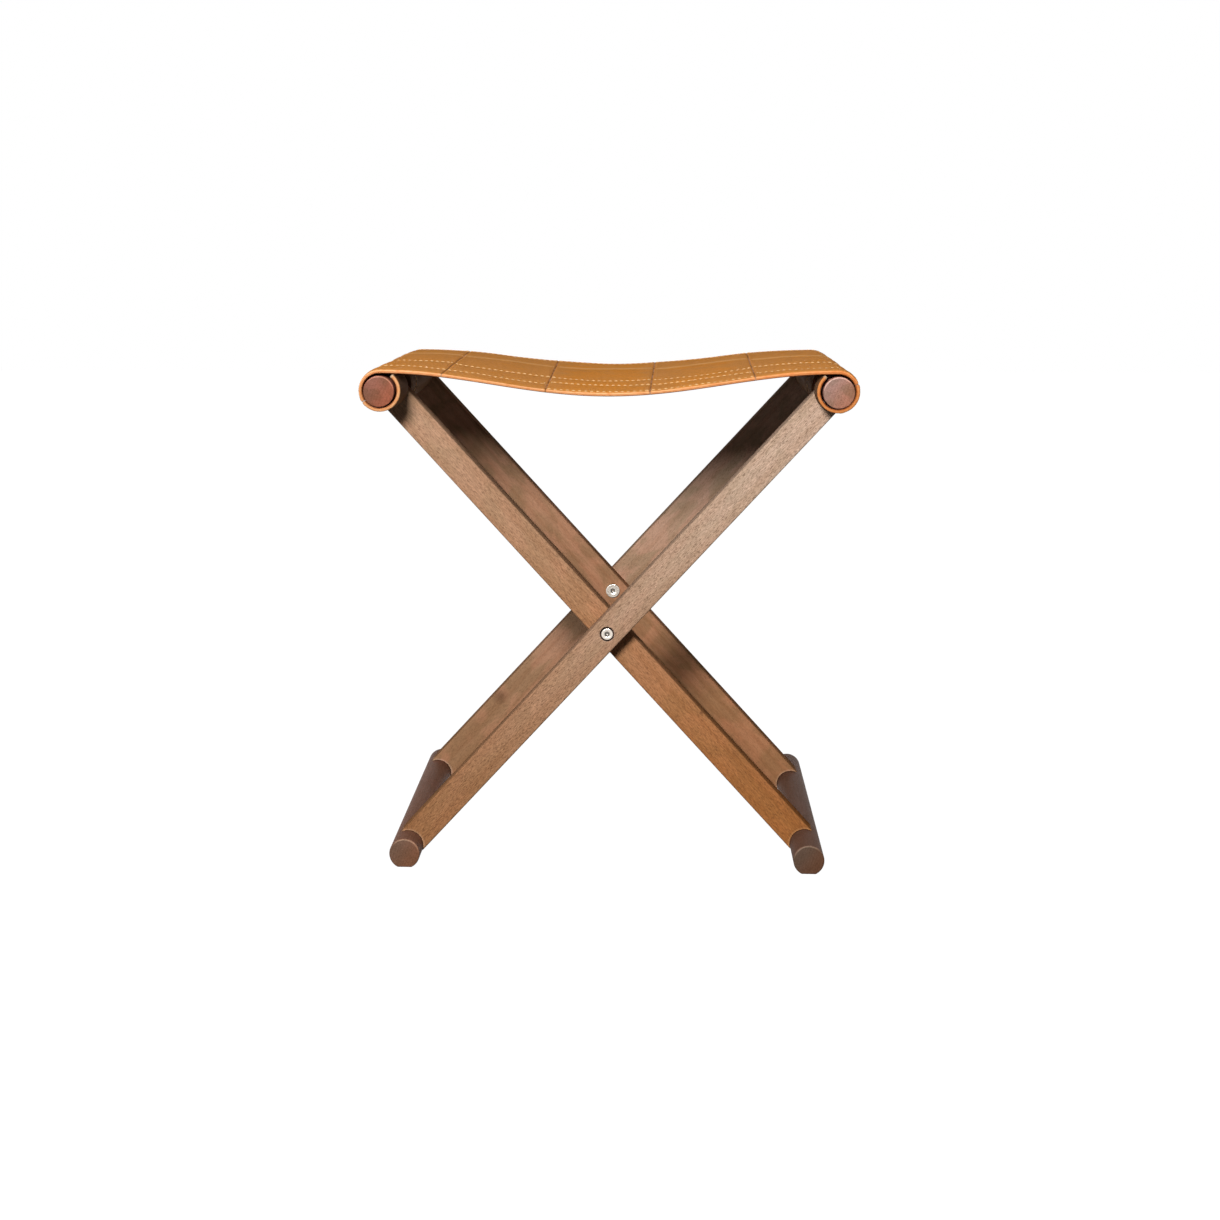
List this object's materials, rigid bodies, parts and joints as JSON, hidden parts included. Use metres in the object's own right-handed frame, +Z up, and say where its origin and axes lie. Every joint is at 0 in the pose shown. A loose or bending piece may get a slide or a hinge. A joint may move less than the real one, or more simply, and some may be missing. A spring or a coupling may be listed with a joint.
{
  "type": "folding stool",
  "caption": "Folding stool: two crossed wooden frames with round rails turn on one axis and carry a sewn leather sling seat.",
  "frame": {"origin": "middle of the footprint on the floor, under the pivot axis", "axes": "+Z up, +Y from front to back along the rails and the pivot axis, +X from the left top rail to the right one"},
  "size_m": [0.4428, 0.353, 0.4556],
  "materials": {
    "leg_wood": "satin",
    "rail_wood": "satin",
    "peg_wood": "raw",
    "pivot_steel": "nickel plated",
    "screw_brass": "antique",
    "seat_leather": "semi-matt"
  },
  "bodies": {
    "outer_frame": {"outer_leg_front": "leg_wood", "outer_leg_rear": "leg_wood", "outer_top_rail": "rail_wood", "outer_foot_rail": "rail_wood", "outer_pegs": "peg_wood", "pivot_bolt_front": "pivot_steel", "pivot_bolt_rear": "pivot_steel", "pivot_nut_front": "pivot_steel", "pivot_nut_rear": "pivot_steel", "pivot_washer_front": "pivot_steel", "pivot_washer_rear": "pivot_steel", "seat_strip_3": "seat_leather", "seat_strip_4": "seat_leather", "seat_strip_5": "seat_leather", "seat_tail_right": "seat_leather", "seat_screws_right": "screw_brass"},
    "inner_frame": {"inner_leg_front": "leg_wood", "inner_leg_rear": "leg_wood", "inner_top_rail": "rail_wood", "inner_foot_rail": "rail_wood", "inner_pegs": "peg_wood", "seat_strip_1": "seat_leather", "seat_strip_2": "seat_leather", "seat_tail_left": "seat_leather", "seat_screws_left": "screw_brass"}
  },
  "joints": [
    {"name": "fold", "type": "hinge", "parent": "outer_frame", "child": "inner_frame", "pos_m": [0, 0, 0.21359], "axis": [0, 1, 0], "range_deg": [0, 66], "deforming": ["seat_strip_1", "seat_strip_2", "seat_strip_3", "seat_strip_4", "seat_strip_5"]}
  ]
}
